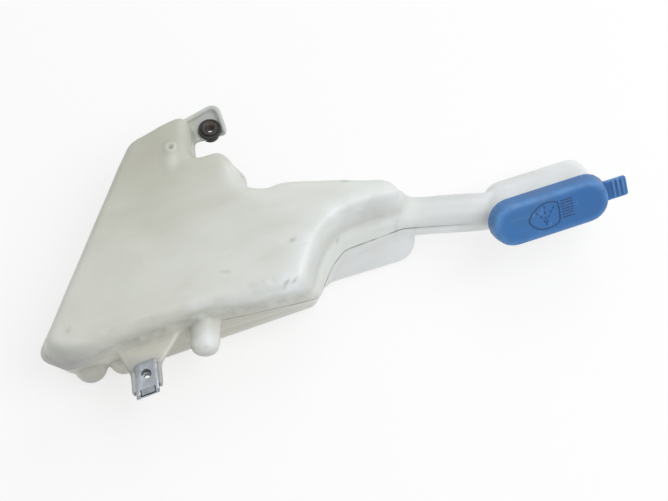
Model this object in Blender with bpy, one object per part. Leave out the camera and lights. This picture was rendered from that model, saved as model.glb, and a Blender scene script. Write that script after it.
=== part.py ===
"""Washer fluid reservoir: blow-moulded tank with filler neck, hinged filler lid and fixings.

The tank lies on its back face. +X runs along the filler neck, +Y away from the near side, +Z up.
Sizes are millimetres; meshes are written in metres.
"""
import math

import bmesh
import bpy
from mathutils import Matrix, Vector

MILLIMETRE = 0.001

# Tank shell
TANK_DEPTH = 82.0
PARTING_HEIGHT = 50.0
WALL = 2.4
BACK_FILLET = 8.0
FRONT_FILLET_RUN = 7.0
FRONT_FILLET_RISE = 11.0
FILLET_STEPS = 3
CORNER_STEPS = 4
SCOOP_HEIGHT_SHARE = 0.45

# Corner name, then x, y and corner radius at the back face, at the parting line and at the front
# face, anticlockwise seen from the front.
TANK_CORNERS = [
    ("sump corner, far", (-222, -86, 12), (-229, -97, 10), (-222, -97, 12)),
    ("sump corner, near", (-208, -93, 8), (-204, -106.5, 14), (-203, -105, 14)),
    ("sump side", (-172, -84.5, 6), (-164, -92, 40), (-163, -90, 40)),
    ("near side middle", (-142, -82, 10), (-112, -71, 40), (-108, -68, 40)),
    ("step foot", (-15, -34, 8), (-11, -46, 9), (-21, -46, 10)),
    ("step middle", (-9, -20, 14), (-1, -19, 25), (-11, -7, 22)),
    ("step head", (-2, -13, 10), (9, -5, 12), (4, 13, 22)),
    ("neck end, near", (66, 10, 18), (60, 16, 6), (54, 30, 6)),
    ("neck end, far", (68, 47, 14), (66, 48, 14), (50, 48, 16)),
    ("far side middle", (-40, 46, 20), (-40, 48, 20), (-41, 46, 20)),
    ("far side dip", (-56, 39, 14), (-56, 41, 14), (-56, 39, 14)),
    ("lobe root", (-70, 41, 4), (-69, 43, 4), (-70, 41, 4)),
    ("lobe flank", (-72.5, 68, 12), (-71.5, 61.5, 12), (-76.5, 56, 12)),
    ("lobe tip", (-89, 78, 10), (-88, 77, 11), (-89, 75, 10)),
    ("ear root", (-113, 65, 4), (-112, 67, 4), (-113, 65, 4)),
    ("ear corner", (-117, 109, 8), (-116, 112, 8), (-117, 110, 8)),
    ("bottom corner", (-166, 80, 16), (-166, 83, 16), (-165, 81, 16)),
]
# How far the front half's wall is drawn in between the parting line and the front face
SCOOP = {"step middle": (-2, 2), "step head": (-3, 4), "neck end, near": (-1, 4)}

# Hollow bosses of the near side
PEG_RADIUS = 11.5
PEG_CENTRE_X = -99.5
PEG_END_Y = -93.5
PEG_END_FILLET = 6.0
PEG_ROOT_SINK = 12.0
FOOT_HEIGHT = 30.0
FOOT_FILLET = 8.0
FEET = [(-193.5, -86.5, 13.0), (-167.5, -80.0, 12.0)]

# Mounting ear with its bush
EAR_OUTLINE = [(-126, 89.5, 1), (-104, 94.2, 20), (-86.4, 100.2, 4), (-96.6, 130.0, 7), (-126, 110.7, 1)]
EAR_THICKNESS = 3.6
EAR_RIM_WIDTH = 4.0
EAR_RIM_RISE = 5.2
BUSH_CENTRE = (-101.8, 103.2)
BUSH_FLANGE_RADIUS = 9.4
BUSH_BACK_RADIUS = 7.4
BUSH_WAIST_RADIUS = 5.5
BUSH_FLANGE = 3.9
BUSH_BEAD = 1.2
BUSH_BEAD_RADIUS = 6.6
BUSH_BORE_RADIUS = 3.6

# Lug with its clip nut, in the parting plane; the tab's end and the fold slant across it
LUG_ROOT = [(-170, -88), (-114, -66)]
LUG_THICKNESS = 5.0
CLIP_CENTRE = (-143.4, -110.1)
CLIP_TURN = 7.0
CLIP_SLANT = 0.28
CLIP_WIDTH = 17.6
CLIP_SHEET = 1.0
CLIP_INNER_REACH = 10.2
CLIP_CORNER = 3.6
CLIP_HOLE_RADIUS = 3.9
CLIP_THREAD_RADIUS = 2.6
CLIP_COLLAR_RADIUS = 4.2
CLIP_COLLAR_HEIGHT = 3.5
CLIP_WINDOW = (-6.3, 5.5, 11.6, 20.0)
TAB_REACH = 10.6
RAIL_END = 12.4
RAIL_START = -4.6
RAIL_WIDTH = 2.7
RAIL_RISE = 2.4

# Filler neck and filler head; sections of the head are n, left s, right s and half width
NECK_RADIUS = 15.4
NECK_HEIGHT = PARTING_HEIGHT - 7.0
NECK_START = (40.0, 27.0, NECK_HEIGHT)
NECK_END = (119.8, 33.2, NECK_HEIGHT)
NECK_JOIN = (-26.5, 0.0, -44.5)
NECK_JOIN_RADIUS = 14.2
NECK_STEPS = 24
HEAD_TURN = 19.5
HEAD_TILT = 45.0
HEAD_FACE = (172.4, 17.2, PARTING_HEIGHT + 21.0)
HEAD_FLOOR = -69.0
HEAD_FILLET = 8.0
HEAD_BODY = [(-61.0, -38.0, 54.5, 16.7), (-28.0, -45.0, 47.6, 16.4)]
HEAD_MOUTH = (-21.0, -39.0, 45.8, 15.2)
END_STEPS = 10

# Filler lid, in the head's frame: s along the mouth, m across it, n out of it
LID_LEFT = -49.0
LID_RIGHT = 49.0
LID_HALF_WIDTH = 17.7
LID_SKIRT = 16.5
LID_FLARE = (0.3, 3.0, 0.6)
LID_WALL = 2.0
LID_PLATE = 2.5
LID_EDGE_FILLET = 3.2
TAB_END = 69.0
TAB_NEAR = -9.0
TAB_FAR = 7.6
TAB_BOTTOM = -15.2
TAB_THICKNESS = 2.6
TAB_CORNER = 2.0
TAB_RIB_PITCH = 4.0
TAB_RIB_COUNT = 3
TAB_RIB_HEIGHT = 0.7
TAB_RIB_WIDTH = 1.4
SEAL_THICKNESS = 2.0
PIN_RADIUS = 1.5
PIN_HALF_LENGTH = 9.0
PIN_S = -43.3
HINGE_KNUCKLE = 3.1
LUG_HALF_WIDTH = 3.0
LID_EAR_THICKNESS = 4.0
HINGE_SIDE_GAP = 0.6

# Pump port in a round recess of the wall that is lowest when the tank is in the vehicle
PORT_Y = -60.0
PORT_HEIGHT = PARTING_HEIGHT - 26.0
PORT_RECESS_RADIUS = 14.5
PORT_RECESS = 5.0
PORT_WALL = 3.0
PORT_HOLE_RADIUS = 10.4
GROMMET_FLANGE_RADIUS = 13.5
GROMMET_FLANGE = 2.5
GROMMET_BORE_RADIUS = 7.0
GROMMET_BEAD = 1.4

GAP = 0.3
OVERLAP = 1.0
ROUND_STEPS = 24


def clear_scene():
    for obj in list(bpy.data.objects):
        bpy.data.objects.remove(obj, do_unlink=True)


def material(name, colour, roughness, metallic=0.0):
    mat = bpy.data.materials.new(name)
    mat.use_nodes = True
    shader = mat.node_tree.nodes["Principled BSDF"]
    shader.inputs["Base Color"].default_value = (*colour, 1.0)
    shader.inputs["Roughness"].default_value = roughness
    shader.inputs["Metallic"].default_value = metallic
    mat.diffuse_color = (*colour, 1.0)
    return mat


def add_object(name, bm, mat=None, place=None):
    """Make an object from a bmesh in millimetres; place is its matrix, in millimetres too."""
    bmesh.ops.recalc_face_normals(bm, faces=bm.faces[:])
    bmesh.ops.scale(bm, vec=(MILLIMETRE,) * 3, verts=bm.verts[:])
    mesh = bpy.data.meshes.new(name)
    bm.to_mesh(mesh)
    bm.free()
    obj = bpy.data.objects.new(name, mesh)
    bpy.context.collection.objects.link(obj)
    if place is not None:
        matrix = place.copy()
        matrix.translation = matrix.translation * MILLIMETRE
        obj.matrix_world = matrix
    if mat is not None:
        mesh.materials.append(mat)
    return obj


def loft(rings):
    """A closed solid through rings of as many points each, with a flat cap at each end."""
    bm = bmesh.new()
    rows = [[bm.verts.new(point) for point in ring] for ring in rings]
    count = len(rows[0])
    for lower, upper in zip(rows, rows[1:]):
        for i in range(count):
            j = (i + 1) % count
            bm.faces.new((lower[i], lower[j], upper[j], upper[i]))
    bm.faces.new(rows[0][::-1])
    bm.faces.new(rows[-1])
    return bm


def boolean(target, operation, tools):
    """Apply one exact Boolean after another to the target and remove the tools."""
    for tool in tools:
        modifier = target.modifiers.new(operation.title(), "BOOLEAN")
        modifier.operation = operation
        modifier.solver = "EXACT"
        modifier.use_self = True
        modifier.object = tool
    bpy.context.view_layer.update()
    depsgraph = bpy.context.evaluated_depsgraph_get()
    mesh = bpy.data.meshes.new_from_object(target.evaluated_get(depsgraph))
    target.modifiers.clear()
    target.data = mesh
    for tool in tools:
        bpy.data.objects.remove(tool, do_unlink=True)
    return target


def shade(obj, degrees=35.0):
    obj.data.shade_smooth()
    obj.data.set_sharp_from_angle(angle=math.radians(degrees))


def rounded(corners, steps):
    """Points round a polygon of (x, y, radius) corners, with steps + 1 points to each corner."""
    points = []
    count = len(corners)
    for i, (x, y, radius) in enumerate(corners):
        here = Vector((x, y))
        back = Vector(corners[i - 1][:2]) - here
        ahead = Vector(corners[(i + 1) % count][:2]) - here
        inside = back.angle(ahead)
        room = 0.48 * min(back.length, ahead.length)
        reach = min(radius / math.tan(inside / 2), room)
        true_radius = reach * math.tan(inside / 2)
        middle = (back.normalized() + ahead.normalized()).normalized()
        centre = here + middle * (true_radius / math.sin(inside / 2))
        start = here + back.normalized() * reach - centre
        turn = math.pi - inside
        if back.cross(ahead) > 0:
            turn = -turn
        for step in range(steps + 1):
            points.append(centre + Matrix.Rotation(turn * step / steps, 2) @ start)
    return points


def inset(corners, distance):
    """The polygon's edges moved inwards, with its corner radii kept parallel."""
    count = len(corners)
    moved = []
    for i, (x, y, radius) in enumerate(corners):
        here = Vector((x, y))
        along_in = (here - Vector(corners[i - 1][:2])).normalized()
        along_out = (Vector(corners[(i + 1) % count][:2]) - here).normalized()
        normal_in = Vector((-along_in.y, along_in.x))
        normal_out = Vector((-along_out.y, along_out.x))
        shift = (normal_in + normal_out) * distance / (1.0 + normal_in.dot(normal_out))
        convex = along_in.cross(along_out) > 0
        new_radius = radius - distance if convex else radius + distance
        moved.append((x + shift.x, y + shift.y, max(new_radius, 1.0)))
    return moved


def blend(first, second, share):
    return [tuple(a + (b - a) * share for a, b in zip(p, q)) for p, q in zip(first, second)]


def level(corners, height, steps=CORNER_STEPS):
    return [(p.x, p.y, height) for p in rounded(corners, steps)]


def block(corners, low, high, steps=CORNER_STEPS):
    return loft([level(corners, low, steps), level(corners, high, steps)])


def quarter(run, rise, steps):
    """Run and rise of a quarter-round from a wall to a face, the wall's end first."""
    angles = [math.pi / 2 * step / steps for step in range(1, steps + 1)]
    return [(run * (1 - math.cos(a)), rise * math.sin(a)) for a in angles]


def frame_at(origin, direction, up=(0, 0, 1)):
    """A matrix with its Z axis along direction."""
    z = Vector(direction).normalized()
    x = Vector(up).cross(z)
    if x.length < 0.001:
        x = Vector((1, 0, 0))
    x.normalize()
    matrix = Matrix((x, z.cross(x), z)).transposed().to_4x4()
    matrix.translation = Vector(origin)
    return matrix


def circle(radius, height=0.0, steps=ROUND_STEPS):
    angles = [2 * math.pi * step / steps for step in range(steps)]
    return [(radius * math.cos(a), radius * math.sin(a), height) for a in angles]


def turned(profile, steps=ROUND_STEPS):
    """A solid of revolution about Z through (radius, height) pairs, lowest first."""
    return loft([circle(radius, height, steps) for radius, height in profile])


def turned_ring(profile, steps=ROUND_STEPS):
    """A ring about Z from a closed profile of (radius, height) pairs."""
    bm = bmesh.new()
    rows = [[bm.verts.new(point) for point in circle(r, z, steps)] for r, z in profile]
    for i, row in enumerate(rows):
        following = rows[(i + 1) % len(rows)]
        for j in range(steps):
            k = (j + 1) % steps
            bm.faces.new((row[j], row[k], following[k], following[j]))
    return bm


def corner_lists():
    back = [corner[1] for corner in TANK_CORNERS]
    parting = [corner[2] for corner in TANK_CORNERS]
    front = [corner[3] for corner in TANK_CORNERS]
    scooped = []
    for (name, _, _, _), (x, y, radius) in zip(TANK_CORNERS, blend(parting, front, 0.5)):
        dx, dy = SCOOP.get(name, (0, 0))
        scooped.append((x + dx, y + dy, radius))
    return back, parting, scooped, front


def tank_rings(wall):
    """Rings from the back face to the front face; wall is 0 outside and WALL for the hollow."""
    back, parting, scooped, front = (inset(c, wall) for c in corner_lists())
    back_fillet = BACK_FILLET - wall
    run = FRONT_FILLET_RUN - wall / 2
    rise = FRONT_FILLET_RISE - wall / 2
    shoulder = TANK_DEPTH - wall - rise
    scoop_height = PARTING_HEIGHT + (shoulder - PARTING_HEIGHT) * SCOOP_HEIGHT_SHARE
    rings = []
    for step_in, step_up in reversed(quarter(back_fillet, back_fillet, FILLET_STEPS)):
        rings.append(level(inset(back, step_in), wall + back_fillet - step_up))
    rings.append(level(back, wall + back_fillet))
    rings.append(level(blend(back, parting, 0.5), (BACK_FILLET + PARTING_HEIGHT) / 2))
    rings.append(level(parting, PARTING_HEIGHT))
    rings.append(level(scooped, scoop_height))
    rings.append(level(front, shoulder))
    for step_in, step_up in quarter(run, rise, FILLET_STEPS):
        rings.append(level(inset(front, step_in), shoulder + step_up))
    return rings


def head_frame():
    """Axes s, m and n of the filler head as a matrix, at the middle of the lid's face."""
    turn, tilt = math.radians(HEAD_TURN), math.radians(HEAD_TILT)
    along = Vector((math.cos(turn), math.sin(turn), 0))
    out = Vector((math.sin(turn) * math.sin(tilt), -math.cos(turn) * math.sin(tilt), math.cos(tilt)))
    matrix = Matrix((along, out.cross(along), out)).transposed().to_4x4()
    matrix.translation = Vector(HEAD_FACE)
    return matrix


def stadium(left, right, half_width, height, steps=END_STEPS):
    """A slot shape with half-round ends, as points at one height."""
    points = []
    for centre, start in ((right - half_width, -90), (left + half_width, 90)):
        for step in range(steps + 1):
            angle = math.radians(start + 180 * step / steps)
            x = centre + half_width * math.cos(angle)
            points.append((x, half_width * math.sin(angle), height))
    return points


def mouth_top():
    return -(LID_PLATE + SEAL_THICKNESS + 2 * GAP)


def head_rings(wall):
    """Rings of the filler head from its floor to its mouth; the hollow runs on past the mouth."""
    fillet = HEAD_FILLET - wall
    rings = []
    for step_in, step_up in reversed(quarter(fillet, fillet, FILLET_STEPS)):
        section = (HEAD_FLOOR + wall + fillet - step_up, *HEAD_BODY[0][1:])
        rings.append(head_section(section, wall + step_in))
    mouth_end = (mouth_top() + (OVERLAP if wall else 0), *HEAD_MOUTH[1:])
    for section in HEAD_BODY + [HEAD_MOUTH, mouth_end]:
        rings.append(head_section(section, wall))
    return rings


def head_section(section, step_in):
    height, left, right, half = section
    return stadium(left + step_in, right - step_in, half - step_in, height)


def transform(rings, matrix):
    return [[matrix @ Vector(point) for point in ring] for ring in rings]


def neck_rings(wall):
    """A round tube from inside the tank that narrows to fit inside the filler head."""
    start, end = Vector(NECK_START), Vector(NECK_END)
    join = head_frame() @ Vector(NECK_JOIN)
    stations = [(start, end - start, NECK_RADIUS), (end, end - start, NECK_RADIUS)]
    stations.append((join, join - end, NECK_JOIN_RADIUS))
    rings = []
    for centre, heading, radius in stations:
        place = frame_at(centre, heading)
        rings.append([place @ Vector(point) for point in circle(radius - wall, 0, NECK_STEPS)])
    return rings


def peg_solid(wall):
    """The locating peg: round, hollow, with a rounded blind end that points to -Y."""
    radius = PEG_RADIUS - wall
    fillet = max(PEG_END_FILLET - wall, 0.8)
    end = -PEG_END_Y - wall
    near_wall = -corner_lists()[1][3][1]
    root = near_wall - PEG_ROOT_SINK - 2 * wall
    profile = [(radius, root), (radius, end - fillet)]
    profile += [(radius - run, end - fillet + rise) for run, rise in quarter(fillet, fillet, FILLET_STEPS)]
    bm = turned(profile)
    place = frame_at((PEG_CENTRE_X, 0, PARTING_HEIGHT), (0, -1, 0))
    bmesh.ops.transform(bm, matrix=place, verts=bm.verts[:])
    return bm


def foot_solid(x, y, radius, wall):
    """A hollow rounded foot of the back half, beside the sump."""
    size = radius - wall
    fillet = FOOT_FILLET - wall
    rises = quarter(fillet, fillet, FILLET_STEPS)
    low, high = wall, FOOT_HEIGHT - wall
    base_fillet = BACK_FILLET / 2
    base = [(size - run, low + base_fillet - rise) for run, rise in
            reversed(quarter(base_fillet, base_fillet, FILLET_STEPS))]
    profile = base + [(size, low + base_fillet), (size, high - fillet)]
    profile += [(size - run, high - fillet + rise) for run, rise in rises]
    bm = turned(profile)
    bmesh.ops.translate(bm, vec=(x, y, 0), verts=bm.verts[:])
    return bm


def ear_parts():
    """The mounting ear, and the pocket that leaves a rim along its outer edges."""
    low, high = ear_faces()
    ear = block(EAR_OUTLINE, low, high + EAR_RIM_RISE)
    _, _, right, tip, far_left = (Vector(corner[:2]) for corner in inset(EAR_OUTLINE, EAR_RIM_WIDTH))
    past = 4 * EAR_RIM_WIDTH
    near_end = right + (right - tip).normalized() * past
    left_end = far_left + (far_left - tip).normalized() * past
    pocket = [(left_end.x, near_end.y, 1), (*near_end, 1), (*tip, 4), (*left_end, 1)]
    return ear, block(pocket, high, high + EAR_RIM_RISE + OVERLAP)


def clip_frame():
    """Origin at the clip's hole; X across the lug's tab, Y out along it."""
    matrix = Matrix.Rotation(math.radians(180 + CLIP_TURN), 4, "Z")
    matrix.translation = Vector((*CLIP_CENTRE, PARTING_HEIGHT))
    return matrix


def tab_half_width():
    return CLIP_WIDTH / 2 + GAP + RAIL_WIDTH


def slanted(x, y, radius):
    return x, y + CLIP_SLANT * x, radius


def lug_parts():
    """The pinched flange that carries the clip nut: web, tab and two side rails."""
    place = clip_frame()
    half = tab_half_width()
    left, right = (place.inverted() @ Vector((x, y, PARTING_HEIGHT)) for x, y in LUG_ROOT)
    web = [
        (left.x, left.y, 1), slanted(half, RAIL_START, 5), slanted(half, TAB_REACH, 3),
        slanted(-half, TAB_REACH, 3), slanted(-half, RAIL_START, 6), (right.x, right.y, 1),
    ]
    low, high = -LUG_THICKNESS / 2, LUG_THICKNESS / 2
    solids = [block(web, low, high)]
    for side in (-1, 1):
        inner, outer = side * (half - RAIL_WIDTH), side * half
        rail = [
            slanted(inner, RAIL_START, 0.6), slanted(outer, RAIL_START, 0.6),
            slanted(outer, RAIL_END, 1.2), slanted(inner, RAIL_END, 0.6),
        ]
        solids.append(block(rail, low - RAIL_RISE, high + RAIL_RISE, 2))
    for solid in solids:
        bmesh.ops.transform(solid, matrix=place, verts=solid.verts[:])
    return solids


def port_frame():
    """Origin in the outer wall's widest plane at the pump port, Z out of the tank."""
    parting = corner_lists()[1]
    low, high = Vector(parting[0][:2]), Vector(parting[-1][:2])
    share = (PORT_Y - low.y) / (high.y - low.y)
    point = low + (high - low) * share
    along = (high - low).normalized()
    return frame_at((point.x, point.y, PORT_HEIGHT), (-along.y, along.x, 0))


def hinge_lug():
    """The fixed hinge knuckle on the head's shoulder, in the head's frame."""
    return knuckle(-LUG_HALF_WIDTH, LUG_HALF_WIDTH, HEAD_MOUTH[1] + WALL / 2, None)


def pin_n():
    return -LID_SKIRT + PIN_RADIUS / 3


def knuckle(low_m, high_m, reach_s, reach_n):
    """A hinge knuckle about the pin that reaches to s = reach_s or up to n = reach_n."""
    s0, n0, r = PIN_S, pin_n(), HINGE_KNUCKLE
    steps = 8
    profile = []
    if reach_n is None:
        for step in range(steps + 1):
            angle = math.radians(90 + 180 * step / steps)
            profile.append((s0 + r * math.cos(angle), n0 + r * math.sin(angle)))
        profile += [(reach_s, n0 - r), (reach_s, n0 + r)]
    else:
        for step in range(steps + 1):
            angle = math.radians(180 + 180 * step / steps)
            profile.append((s0 + r * math.cos(angle), n0 + r * math.sin(angle)))
        profile += [(s0 + r, reach_n), (s0 - r, reach_n)]
    rings = [[(s, m, n) for s, n in profile] for m in (high_m, low_m)]
    return loft(rings)


def pin_cylinder(radius, half_length):
    bm = turned([(radius, -half_length), (radius, half_length)], 16)
    place = frame_at((PIN_S, 0, pin_n()), (0, 1, 0))
    bmesh.ops.transform(bm, matrix=place, verts=bm.verts[:])
    return bm


def make_tank(mat):
    head = head_frame()
    tank = add_object("tank", loft(tank_rings(0.0)), mat)
    ear, pocket = ear_parts()
    added = [
        add_object("neck", loft(neck_rings(0.0))),
        add_object("head", loft(transform(head_rings(0.0), head))),
        add_object("knuckle", hinge_lug(), place=head),
        add_object("peg", peg_solid(0.0)),
    ]
    added += [add_object("foot", foot_solid(x, y, r, 0.0)) for x, y, r in FEET]
    added += [add_object("lug", solid) for solid in lug_parts()]
    added.append(boolean(add_object("ear", ear), "DIFFERENCE", [add_object("ear pocket", pocket)]))
    boolean(tank, "UNION", added)
    recess = turned([(PORT_RECESS_RADIUS, -PORT_RECESS), (PORT_RECESS_RADIUS, PORT_RECESS)])

    hollow = add_object("hollow", loft(tank_rings(WALL)))
    more_hollow = [
        add_object("neck bore", loft(neck_rings(WALL))),
        add_object("head hollow", loft(transform(head_rings(WALL), head))),
        add_object("peg hollow", peg_solid(WALL)),
    ]
    more_hollow += [add_object("foot hollow", foot_solid(x, y, r, WALL)) for x, y, r in FEET]
    boolean(hollow, "UNION", more_hollow)
    wide = PORT_RECESS_RADIUS + WALL
    landing = turned([(wide, -PORT_RECESS - PORT_WALL), (wide, PORT_RECESS)])
    boolean(hollow, "DIFFERENCE", [add_object("port landing", landing, place=port_frame())])
    inside, outside = -PORT_RECESS - PORT_WALL - OVERLAP, -PORT_RECESS + OVERLAP
    port_hole = turned([(PORT_HOLE_RADIUS, inside), (PORT_HOLE_RADIUS, outside)])
    low, high = ear_faces()
    hole_radius = BUSH_WAIST_RADIUS + GAP
    bush_hole = turned([(hole_radius, low - OVERLAP), (hole_radius, high + EAR_RIM_RISE + OVERLAP)])
    bmesh.ops.translate(bush_hole, vec=(*BUSH_CENTRE, 0), verts=bush_hole.verts[:])
    collar = CLIP_COLLAR_RADIUS + GAP
    clip_hole = turned([(collar, -LUG_THICKNESS), (collar, LUG_THICKNESS)])
    holes = [
        hollow,
        add_object("port recess", recess, place=port_frame()),
        add_object("port hole", port_hole, place=port_frame()),
        add_object("bush hole", bush_hole),
        add_object("clip hole", clip_hole, place=clip_frame()),
        add_object("pin hole", pin_cylinder(PIN_RADIUS + GAP, LUG_HALF_WIDTH + OVERLAP), place=head),
    ]
    boolean(tank, "DIFFERENCE", holes)
    shade(tank)
    return tank


def lid_place():
    """The lid's frame: the head's axes with the origin on the hinge pin."""
    head = head_frame()
    return head @ Matrix.Translation((PIN_S, 0, pin_n()))


def lid_ring(step_in, height, flare=0.0):
    """Outline of the lid's outside, moved in by step_in; flare is 1 at the bottom of the skirt."""
    left, right, side = (flare * value for value in LID_FLARE)
    left, right = LID_LEFT - left + step_in, LID_RIGHT + right - step_in
    return stadium(left, right, LID_HALF_WIDTH + side - step_in, height)


def make_lid(mat):
    """Shallow slot-shaped cap with a flared skirt, two hinge ears and a ribbed finger tab."""
    shell = []
    for run, rise in reversed(quarter(LID_EDGE_FILLET, LID_EDGE_FILLET, FILLET_STEPS)):
        shell.append(lid_ring(run, rise - LID_EDGE_FILLET))
    shell.append(lid_ring(0.0, -LID_EDGE_FILLET))
    shell.append(lid_ring(0.0, -LID_SKIRT, 1.0))
    below = 1.0 + OVERLAP / LID_SKIRT
    inside = [lid_ring(LID_WALL, -LID_SKIRT * below, below), lid_ring(LID_WALL, -LID_PLATE)]
    tab_start = LID_RIGHT - LID_WALL
    outline = [
        (tab_start, TAB_NEAR, 0.5), (TAB_END, TAB_NEAR, TAB_CORNER),
        (TAB_END, TAB_FAR, TAB_CORNER), (tab_start, TAB_FAR, 0.5),
    ]
    tab_top = TAB_BOTTOM + TAB_THICKNESS
    solids = [block(outline, TAB_BOTTOM, tab_top, 3)]
    for index in range(TAB_RIB_COUNT):
        middle = TAB_END - TAB_CORNER - 1.4 - index * TAB_RIB_PITCH
        low, high = middle - TAB_RIB_WIDTH / 2, middle + TAB_RIB_WIDTH / 2
        near, far = TAB_NEAR + 1.5, TAB_FAR - 1.5
        rib = [(low, near, 0.3), (high, near, 0.3), (high, far, 0.3), (low, far, 0.3)]
        solids.append(block(rib, tab_top - 0.5, tab_top + TAB_RIB_HEIGHT, 1))
    ears = []
    for side in (-1, 1):
        ends = [side * (LUG_HALF_WIDTH + HINGE_SIDE_GAP + step) for step in (0, LID_EAR_THICKNESS)]
        ears.append(knuckle(min(ends), max(ends), 0, -LID_PLATE / 2))
    to_pin = Matrix.Translation((-PIN_S, 0, -pin_n()))
    place = lid_place()

    def piece(name, bm):
        bmesh.ops.transform(bm, matrix=to_pin, verts=bm.verts[:])
        return add_object(name, bm, mat, place)

    lid = piece("filler_lid", loft(shell))
    boolean(lid, "UNION", [piece("lid tab", solid) for solid in solids])
    boolean(lid, "DIFFERENCE", [piece("lid hollow", loft(inside))])
    boolean(lid, "UNION", [piece("lid ear", ear) for ear in ears])
    pin_hole = pin_cylinder(PIN_RADIUS + GAP, PIN_HALF_LENGTH + GAP)
    boolean(lid, "DIFFERENCE", [piece("lid pin hole", pin_hole)])
    shade(lid)
    return lid


def make_pin(mat):
    pin = add_object("lid_hinge_pin", pin_cylinder(PIN_RADIUS, PIN_HALF_LENGTH), mat, head_frame())
    shade(pin)
    return pin


def make_seal(mat):
    """A flat ring under the lid's plate that meets the rim of the mouth."""
    top = -(LID_PLATE + GAP)
    bottom = top - SEAL_THICKNESS
    rings = [head_section((height, *HEAD_MOUTH[1:]), 0.0) for height in (bottom, top)]
    seal = add_object("lid_seal", loft(rings), mat, head_frame())
    heights = (bottom - OVERLAP, top + OVERLAP)
    cutter = loft([head_section((height, *HEAD_MOUTH[1:]), WALL) for height in heights])
    boolean(seal, "DIFFERENCE", [add_object("seal hole", cutter, place=head_frame())])
    shade(seal)
    return seal


def ear_faces():
    half = EAR_THICKNESS / 2
    return PARTING_HEIGHT - half, PARTING_HEIGHT + half


def make_bush(mat):
    """Rubber bush with a flange on each side of the ear and a raised collar round its bore."""
    low, high = ear_faces()
    bore, waist, collar = BUSH_BORE_RADIUS, BUSH_WAIST_RADIUS, BUSH_BEAD_RADIUS
    rim, back_rim = BUSH_FLANGE_RADIUS, BUSH_BACK_RADIUS
    bottom, top = low - GAP - BUSH_FLANGE, high + GAP + BUSH_FLANGE
    flange_top = top - BUSH_BEAD
    profile = [
        (bore, bottom), (back_rim - 1.0, bottom), (back_rim, bottom + 1.0), (back_rim, low - GAP),
        (waist, low - GAP), (waist, high + GAP), (rim, high + GAP),
        (rim, flange_top - 0.8), (rim - 0.8, flange_top), (collar + 0.8, flange_top),
        (collar, top), (bore, top),
    ]
    bush = add_object("mount_bush", turned_ring(profile), mat, Matrix.Translation((*BUSH_CENTRE, 0)))
    shade(bush)
    return bush


def clip_profile(inner_end):
    """Outline of the bent sheet in its own Y and Z, both leaves and the fold past the rails."""
    face = LUG_THICKNESS / 2 + GAP
    bend = face + CLIP_SHEET
    fold_at = RAIL_END + OVERLAP + GAP
    outer_arc, inner_arc = [], []
    for step in range(9):
        angle = math.radians(90 - 180 * step / 8)
        outer_arc.append((fold_at + bend * math.cos(angle) * 0.8, bend * math.sin(angle)))
        inner_arc.append((fold_at + (face * math.cos(angle)) * 0.8, face * math.sin(angle)))
    outer = [(inner_end, bend)] + outer_arc + [(inner_end, -bend)]
    inner = [(inner_end, -face)] + inner_arc[::-1] + [(inner_end, face)]
    return outer + inner


def make_clip(mat):
    """Spring nut of bent sheet: plain hole in the front leaf, threaded collar on the back leaf."""
    stations = []
    for run, rise in [(0.0, 0.0)] + quarter(CLIP_CORNER, CLIP_CORNER, CORNER_STEPS):
        stations.append((CLIP_WIDTH / 2 - CLIP_CORNER + rise, run - CLIP_INNER_REACH))
    stations = [(-x, end) for x, end in reversed(stations)] + stations
    rings = []
    for x, end in stations:
        rings.append([(x, y + CLIP_SLANT * x, z) for y, z in clip_profile(end)])
    clip = add_object("clip_nut", loft(rings), mat, clip_frame())
    face = LUG_THICKNESS / 2 + GAP
    back = -face - CLIP_SHEET
    collar = turned([(CLIP_COLLAR_RADIUS, back - CLIP_COLLAR_HEIGHT), (CLIP_COLLAR_RADIUS, back + 0.4)])
    boolean(clip, "UNION", [add_object("collar", collar, mat, clip_frame())])
    front_hole = turned([(CLIP_HOLE_RADIUS, 0.0), (CLIP_HOLE_RADIUS, face + CLIP_SHEET + OVERLAP)])
    thread = turned([(CLIP_THREAD_RADIUS, back - CLIP_COLLAR_HEIGHT - OVERLAP), (CLIP_THREAD_RADIUS, 0.0)])
    low_x, high_x, low_y, high_y = CLIP_WINDOW
    window = [slanted(x, y, 0.4) for x, y in
              ((low_x, low_y), (high_x, low_y), (high_x, high_y), (low_x, high_y))]
    cuts = [
        add_object("clip hole", front_hole, mat, clip_frame()),
        add_object("clip thread", thread, mat, clip_frame()),
        add_object("fold window", block(window, 0.0, face + CLIP_SHEET + OVERLAP, 1), mat, clip_frame()),
    ]
    boolean(clip, "DIFFERENCE", cuts)
    shade(clip)
    return clip


def make_grommet(mat):
    """Rubber grommet of the pump port, with the pump taken out."""
    outside, wall = GAP - PORT_RECESS, PORT_HOLE_RADIUS - GAP
    inside = -PORT_RECESS - PORT_WALL - GAP
    bore = GROMMET_BORE_RADIUS
    bead = PORT_HOLE_RADIUS + GROMMET_BEAD
    profile = [
        (bore, inside - 3.0), (wall - 0.8, inside - 3.0), (bead, inside - 1.2), (bead, inside),
        (wall, inside), (wall, outside), (GROMMET_FLANGE_RADIUS, outside),
        (GROMMET_FLANGE_RADIUS, outside + GROMMET_FLANGE - 0.8),
        (GROMMET_FLANGE_RADIUS - 0.8, outside + GROMMET_FLANGE), (bore, outside + GROMMET_FLANGE),
    ]
    grommet = add_object("pump_grommet", turned_ring(profile), mat, port_frame())
    shade(grommet)
    return grommet


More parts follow.
